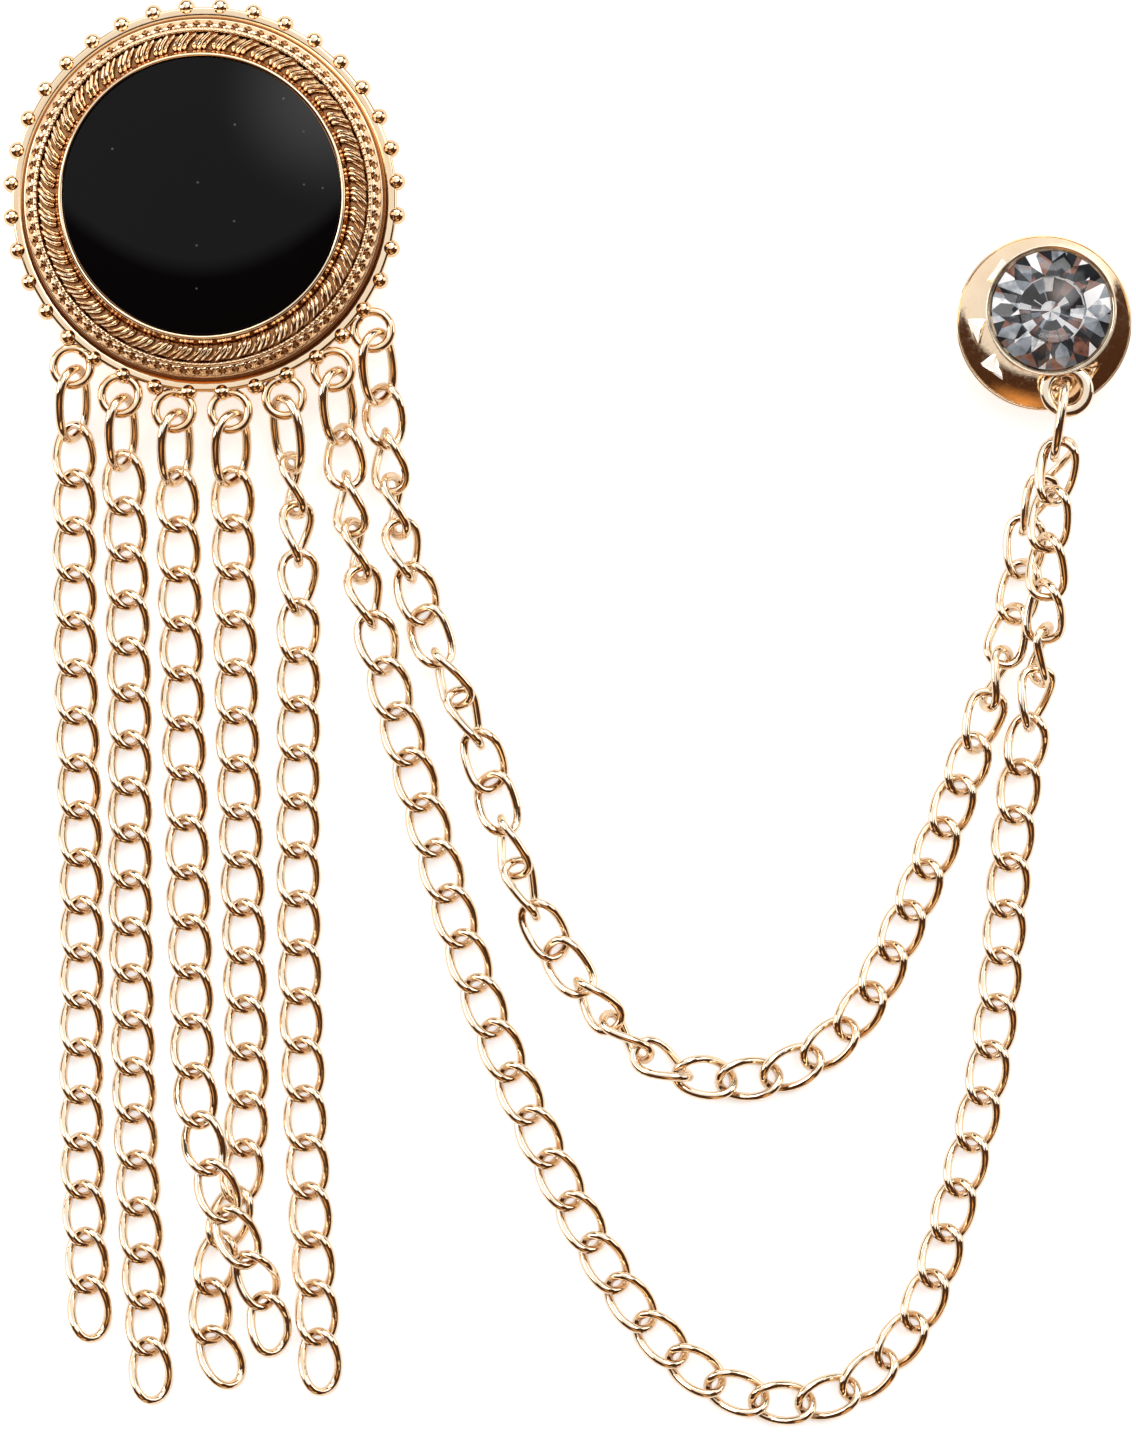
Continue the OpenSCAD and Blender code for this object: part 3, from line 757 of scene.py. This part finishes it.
# Side loop of the stud, a flat ring with softly rounded edges
def tabPlate():
    wide, high = stud["tabHalf"]
    section = [fullCircle(a, stud["tabPower"]) for a in turns(stud["tabSides"])]
    verts = [(*around(around(stud["tab"], stud["tabRadius"], a), wide * x, a), stud["tabHeight"] + high * y)
             for a in turns(stud["tabSteps"]) for x, y in section]
    obj = meshObject("studTab", verts, gridFaces(stud["tabSteps"], stud["tabSides"], True, True))
    mergeDoubles(obj)
    return obj


cup = turned("studCup", cupProfile, stud["cup"], stud["steps"])
post = turned("studPost", postProfile, stud["post"], stud["postSteps"])
dress(cup, "jewel", ["stud_setting"], studGold)
dress(tabPlate(), "jewel", [], studGold)
dress(post, "jewel", [], studGold)

cut = {"fold": 14, "radius": 3.83, "girdle": 6.0, "tableRadius": 0.57, "table": 1.29, "midRadius": 0.8, "mid": 0.74,
       "girdleHigh": 0.1, "pointRadius": 0.42, "point": 1.04, "wedges": 21, "clear": 0.4, "seed": 12}


# Cut stone: table, kites, girdle facets in pairs, thin girdle, long facets to a small flat point
def cutStone():
    n = cut["fold"]
    r = cut["radius"]
    z = cut["girdle"]
    verts = []

    def row(radius, height, shift, count=n):
        start = len(verts)
        verts.extend((*around(stud["cup"], radius, a), height) for a in turns(count, shift))
        return start

    table = row(r * cut["tableRadius"], z + cut["table"], 0.0)
    middle = row(r * cut["midRadius"], z + cut["mid"], 0.5)
    upper = row(r, z + cut["girdleHigh"], 0.0, 2 * n)
    lower = row(r, z, 0.0, 2 * n)
    point = row(cut["pointRadius"], z - cut["point"], 0.5)
    pick = random.Random(cut["seed"])
    faces = [tuple(range(n))]
    shades = [-1.0]  # under 0 is clear glass, from 0 a painted reflection tone that glows faintly
    for k in range(n):
        j = (k + 1) % n
        u, v, w = upper + 2 * k, upper + 2 * k + 1, upper + (2 * k + 2) % (2 * n)
        lu, lv, lw = lower + 2 * k, lower + 2 * k + 1, lower + (2 * k + 2) % (2 * n)
        faces += [(table + k, middle + k, table + j), (table + k, middle + (k - 1) % n, u, middle + k),
                  (middle + k, u, v), (middle + k, v, w), (u, lu, lv, v), (v, lv, lw, w),
                  (lu, point + k, lv), (lv, point + k, lw), (lw, point + k, point + j)]
        shades += [pick.random() for i in range(4)] + [-1.0] * 5
    faces.append(tuple(point + k for k in reversed(range(n))))
    shades.append(-1.0)
    obj = meshObject("cutStone", verts, faces, False)
    shade = obj.data.attributes.new("paintedReflectionTone", "FLOAT", "FACE")
    shade.data.foreach_set("value", shades)
    mergeDoubles(obj)
    obj.data.materials.append(glassClear)
    obj.data.materials.append(facetMaterial("crownPaintedReflection", cut["clear"], cut["wedges"]))
    tones = [item.value for item in obj.data.attributes["paintedReflectionTone"].data]
    for face, tone in zip(obj.data.polygons, tones):
        face.material_index = int(tone > -0.5)
    return obj


# Foil behind the stone, in facets of its own, painted with reflection tones that glow faintly; the lift is a fixed
# tone for a ring of them, and a tone over 1 there and at the point is a painted highlight
foil = {"rings": [(0.55, 4.92), (1.1, 5.03), (1.88, 5.3), (1.97, 5.33), (2.8, 5.58), (3.6, 5.86)], "sectors": 18,
        "lift": [0, 0, 1.6, 0, 0], "shift": 0.25, "rise": 0.1, "pointHighlight": 1.5, "wedges": 15, "seed": 4}


def foilFacets():
    n = foil["sectors"]
    pick = random.Random(foil["seed"])
    verts = [(*around(stud["cup"], r, a), z) for r, z in foil["rings"] for a in turns(n, foil["shift"])]
    verts.append((*stud["cup"], foil["rings"][0][1] + foil["rise"]))
    faces = gridFaces(len(foil["rings"]), n, False, True)
    shades = [lift or pick.random() for lift in foil["lift"] for k in range(n)]
    faces += [(k, (k + 1) % n, len(verts) - 1) for k in range(n)]
    shades += [foil["pointHighlight"]] * n
    obj = meshObject("stoneFoil", verts, faces, False)
    shade = obj.data.attributes.new("paintedReflectionTone", "FLOAT", "FACE")
    shade.data.foreach_set("value", shades)
    return obj


# Painted reflections of the cut stone and its foil: tones from dark to white, a faint painted glow, and a cloudy
# drift
facets = {"cloud": 1100, "cloudRange": (0.3, 0.7), "drift": 0.07, "glow": 0.35, "roughness": 0.02,
          "tones": [(0.0, (0.012, 0.014, 0.016)), (0.52, (0.04, 0.042, 0.048)), (0.55, (0.18, 0.075, 0.05)),
                    (0.62, (0.28, 0.14, 0.10)), (0.65, (0.13, 0.15, 0.17)), (0.79, (0.34, 0.38, 0.42)),
                    (0.88, (0.97, 0.97, 0.97))]}


# Painted reflection wedges of one tone each about the origin, dark, brown, grey or white, that shift from facet to
# facet
def makeWedges():
    tree, start, out = nodeGroup("paintedReflectionWedges", "ShaderNodeTree", [
        ("Vector", "Vector"), ("Tone", "Float", 0.0), ("Wedges", "Float", 20.0)], [("Color", "Color")])
    place, tone = start.outputs["Vector"], start.outputs["Tone"]
    split = addNode(tree, "ShaderNodeSeparateXYZ", {0: place})
    angle = calc(tree, "ARCTAN2", split.outputs["Y"], split.outputs["X"])
    share = calc(tree, "DIVIDE", angle, 2 * math.pi)
    step = calc(tree, "FLOOR", calc(tree, "MULTIPLY_ADD", share, start.outputs["Wedges"], tone))
    pair = addNode(tree, "ShaderNodeCombineXYZ", {"X": step, "Y": tone})
    chance = addNode(tree, "ShaderNodeTexWhiteNoise", {"Vector": pair.outputs[0]}, noise_dimensions="2D")
    cloud = noise(tree, place, facets["cloud"], detail=3)
    drift = mapped(tree, cloud, *facets["cloudRange"], -facets["drift"], facets["drift"])
    lift = mapped(tree, tone, 1.0, 2.0, 0.0, 1.0)  # a tone over 1 makes its facet brighter, a painted highlight
    total = calc(tree, "ADD", calc(tree, "ADD", chance.outputs["Value"], drift), lift)
    feed(out, {"Color": coloured(tree, total, facets["tones"])})
    return tree


paintedReflectionWedges = makeWedges()


# Glassy or opaque facets that carry the painted reflection wedges, and glow faintly in the same colour as painted
# light
def facetMaterial(name, clear, wedges):
    material, tree, shader, place = newMaterial(name)
    tone = addNode(tree, "ShaderNodeAttribute", attribute_name="paintedReflectionTone")
    local = vectorCalc(tree, "SUBTRACT", place, (stud["cup"][0] * mm, stud["cup"][1] * mm, 0))
    group = addNode(tree, "ShaderNodeGroup", node_tree=paintedReflectionWedges)
    feed(group, {"Vector": local, "Tone": tone.outputs["Fac"], "Wedges": wedges})
    feed(shader, {"Base Color": group.outputs["Color"], "Emission Color": group.outputs["Color"],
                  "Emission Strength": facets["glow"], "Transmission Weight": clear,
                  "Roughness": facets["roughness"], "IOR": glass["ior"]})
    return material


dress(cutStone(), "jewel", ["rhinestone"])
dress(foilFacets(), "jewel", [], facetMaterial("foilPaintedReflection", 0.0, foil["wedges"]))

clutch = {"centre": (30.8, 25.5), "face": 3.0, "steps": 220, "toothRadius": 4.35, "toothTurn": 18,
          "toothSpread": 17.5, "toothWide": 1.1, "toothLong": 1.5, "toothThick": 0.14, "toothTilt": 22,
          "toothRoot": 0.25, "toothWaist": (0.22, 0.55), "toothPeak": 0.2, "toothBulge": 0.12,
          "hole": (-0.9, 0.5)}  # waist and peak are shares of the tooth's width and length
clutchProfile = [(0.6, 0.02), (2.75, 0.02), (2.85, 0.12), (3.18, 2.3), (3.35, 2.47), (4.4, 2.34), (5.2, 2.12),
                 (5.5, 2.06), (5.6, 2.08), (5.685, 2.25), (5.69, 2.48)] + arcPoints(5.6, 2.51, 0.09, 0, 150, 6) \
    + [(5.5, 2.52), (5.44, 2.54), (5.2, 2.63), (4.8, 2.745), (4.4, 2.835), (4.0, 2.91), (3.6, 2.96), (3.2, 2.99),
       (2.8, 3.0), (0.75, 3.0), (0.62, 2.95), (0.6, 2.8)]


def toothPlaces():
    places = []
    for k in range(4):
        for side in (-1, 1):
            a = math.radians(clutch["toothTurn"] + 90 * k + side * clutch["toothSpread"])
            spot = Vector((*around(clutch["centre"], clutch["toothRadius"], a), clutch["face"]))
            places.append((spot, Matrix.Rotation(a, 3, "Z").to_euler("XYZ")))
    return places


# A wedge with a triangular outline, its point along y
def wedge(name, low, high, root=0.0, bulge=0.0):
    wide, long = clutch["toothWide"], clutch["toothLong"]
    waist, shoulder = wide * clutch["toothWaist"][0], long * clutch["toothWaist"][1]
    outline = [(-wide / 2, -root), (wide / 2, -root), (wide / 2, 0), (waist, shoulder), (0, long),
               (-waist, shoulder), (-wide / 2, 0)]
    verts = [(x, y, low) for x, y in outline] + [(x, y, high) for x, y in outline]
    verts.append((0, long * clutch["toothPeak"], high + bulge))
    n = len(outline)
    faces = [tuple(reversed(range(n)))]
    for k in range(n):
        j = (k + 1) % n
        faces += [(k, j, n + j, n + k), (n + k, n + j, 2 * n)]
    obj = meshObject(name, verts, faces, False)
    mergeDoubles(obj)
    return obj


# The plate with a punched hole behind each tooth, and the teeth bent up beside the holes
def clutchParts():
    plate = turned("clutchBody", clutchProfile, clutch["centre"], clutch["steps"], True)
    hole = wedge("holePattern", *clutch["hole"])
    holes = onPoints("holes", hole, toothPlaces(), 41, clutchBrass)
    bpy.data.objects.remove(hole)
    modifier = plate.modifiers.new("holes", "BOOLEAN")
    modifier.operation = "DIFFERENCE"
    modifier.object = holes
    modifier.solver = "EXACT"
    plate.data = evaluatedMesh(plate)
    bpy.data.objects.remove(holes)
    mergeDoubles(plate)
    tooth = wedge("toothPattern", -clutch["toothThick"], 0.0, clutch["toothRoot"], clutch["toothBulge"])
    tooth.data.transform(Matrix.Rotation(math.radians(clutch["toothTilt"]), 4, "X"))
    teeth = onPoints("clutchTeeth", tooth, toothPlaces(), 42, toothHighlight)
    bpy.data.objects.remove(tooth)
    return plate, teeth


wing = {"turn": 25, "middle": 3.6, "half": 1.6, "power": 0.55, "steps": 28,
        "layers": ((0.5, 0.93), (0.57, 1.0), (0.93, 1.0), (1.0, 0.93))}


# Finger wings on the back, rounded plates in layers of height and scale
def clutchWings():
    verts = []
    faces = []
    n = wing["steps"]
    last = (len(wing["layers"]) - 1) * n
    for side in (0, 180):
        start = len(verts)
        a = math.radians(wing["turn"] + side)
        for z, scale in wing["layers"]:
            for w in turns(n):
                c, s = fullCircle(w, wing["power"])
                x, y = wing["middle"] + wing["half"] * scale * c, wing["half"] * scale * s
                verts.append((clutch["centre"][0] + x * math.cos(a) - y * math.sin(a),
                              clutch["centre"][1] + x * math.sin(a) + y * math.cos(a), z))
        sides = gridFaces(len(wing["layers"]), n, False, True)
        ends = [tuple(reversed(range(n))), tuple(range(last, last + n))]
        faces += [tuple(start + v for v in face) for face in sides + ends]
    obj = meshObject("clutchWings", verts, faces)
    mergeDoubles(obj)
    return obj


clutchPlate, clutchTeeth = clutchParts()
dress(clutchPlate, "clutch", ["clutch"], clutchBrass)
dress(clutchTeeth, "clutch")
dress(clutchWings(), "clutch", [], clutchBrass)
print("stud made")

paper = {"reach": 6000, "drop": 0.02, "grain": 60, "tones": [(0.3, (0.93, 0.93, 0.93)), (0.7, (0.95, 0.95, 0.95))],
         "mirrored": (0.72, 0.69, 0.65), "glow": 0.6, "roughness": 0.9}


# Plain pale floor, greyer where the metal mirrors it
def stageFloor():
    far = paper["reach"]
    corners = [(x, y, -paper["drop"]) for x, y in ((-far, -far), (far, -far), (far, far), (-far, far))]
    floor = meshObject("floor", corners, [(0, 1, 2, 3)])
    material, tree, shader, place = newMaterial("paleFloor")
    tone = coloured(tree, noise(tree, place, paper["grain"], detail=2), paper["tones"])
    path = addNode(tree, "ShaderNodeLightPath")
    seen = mixed(tree, path.outputs["Is Glossy Ray"], tone, (*paper["mirrored"], 1))
    feed(shader, {"Base Color": seen, "Emission Color": seen, "Emission Strength": paper["glow"],
                  "Roughness": paper["roughness"], "Specular IOR Level": 0.0})
    floor.data.materials.append(material)


stageFloor()
# Soft boxes: name, place, width, height, radiance and tint
lamps = [("leftBox", (-0.64, 0.14, 0.33), 0.36, 0.6, 3.0, (1, 1, 1)),
         ("rightBox", (0.64, 0.22, 0.27), 0.42, 0.42, 1.8, (1, 1, 1)),
         ("topBox", (0.0, 0.72, 0.36), 0.8, 0.26, 2.8, (1, 1, 1)),
         ("lowBox", (0.1, -0.62, 0.30), 0.4, 0.14, 1.3, (1, 0.62, 0.3))]
for name, place, wide, high, radiance, tint in lamps:
    data = bpy.data.lights.new(name, "AREA")
    data.shape = "RECTANGLE"
    data.size = wide
    data.size_y = high
    data.color = tint
    data.energy = radiance * math.pi * wide * high
    lamp = bpy.data.objects.new(name, data)
    lamp.location = place
    lamp.rotation_euler = (-Vector(place)).to_track_quat("-Z", "Y").to_euler()
    bpy.context.scene.collection.objects.link(lamp)
bpy.context.scene.view_settings.view_transform = "Standard"

room = {"sky": [(0.0, (0.06, 0.06, 0.06)), (0.34, (0.05, 0.05, 0.05)), (0.46, (1.05, 1.05, 1.05)),
                (0.8, (1.0, 1.0, 1.0)), (0.93, (0.95, 0.95, 0.96)), (1.0, (0.9, 0.9, 0.92))],
        "edgeShift": 0.06, "edgeCurve": -1.15, "edge": (-0.17, -0.11), "glow": (0.30, 0.37, 0.88),
        "glowReach": (0.02, 0.34), "glowPower": 3.6, "ember": (-0.1, -0.62, 0.78),
        "emberTones": [(0.05, (0.95, 0.42, 0.12)), (0.32, (0.07, 0.03, 0.014))], "wall": (0.94, 0.94, 0.94)}


# Room: bright from half height up on the far side, dark low down and on the near side of a curved edge
def studioWorld():
    world = bpy.data.worlds.new("studio")
    bpy.context.scene.world = world
    world.use_nodes = True
    tree = world.node_tree
    way = addNode(tree, "ShaderNodeTexCoord").outputs["Generated"]
    split = addNode(tree, "ShaderNodeSeparateXYZ", {0: way})
    sky = coloured(tree, split.outputs["Z"], room["sky"])
    across = calc(tree, "ADD", split.outputs["X"], room["edgeShift"])
    square = calc(tree, "MULTIPLY", across, across)
    edge = calc(tree, "MULTIPLY_ADD", square, room["edgeCurve"], split.outputs["Y"])
    near = mapped(tree, edge, *room["edge"], 0.0, 1.0)
    reach = vectorCalc(tree, "DISTANCE", way, room["glow"])
    glow = mapped(tree, reach, *room["glowReach"], room["glowPower"], 0.0, "SMOOTHSTEP")
    lit = vectorCalc(tree, "ADD", sky, glow)
    ember = coloured(tree, vectorCalc(tree, "DISTANCE", way, room["ember"]), room["emberTones"])
    path = addNode(tree, "ShaderNodeLightPath")  # the camera sees a plain wall beyond the floor
    feed(tree.nodes["Background"], {"Color": mixed(tree, path.outputs["Is Camera Ray"], mixed(tree, near, ember, lit),
                                                   (*room["wall"], 1)), "Strength": 1.0})


studioWorld()
view = {"height": 0.4, "halfAngle": 6.6535, "clip": 0.01}
camera = bpy.data.objects.new("camera", bpy.data.cameras.new("camera"))
camera.data.sensor_fit = "VERTICAL"
camera.data.angle = math.radians(2 * view["halfAngle"])
camera.data.clip_start = view["clip"]
camera.location = (0, 0, view["height"])
bpy.context.scene.collection.objects.link(camera)
bpy.context.scene.camera = camera
print("stage made")
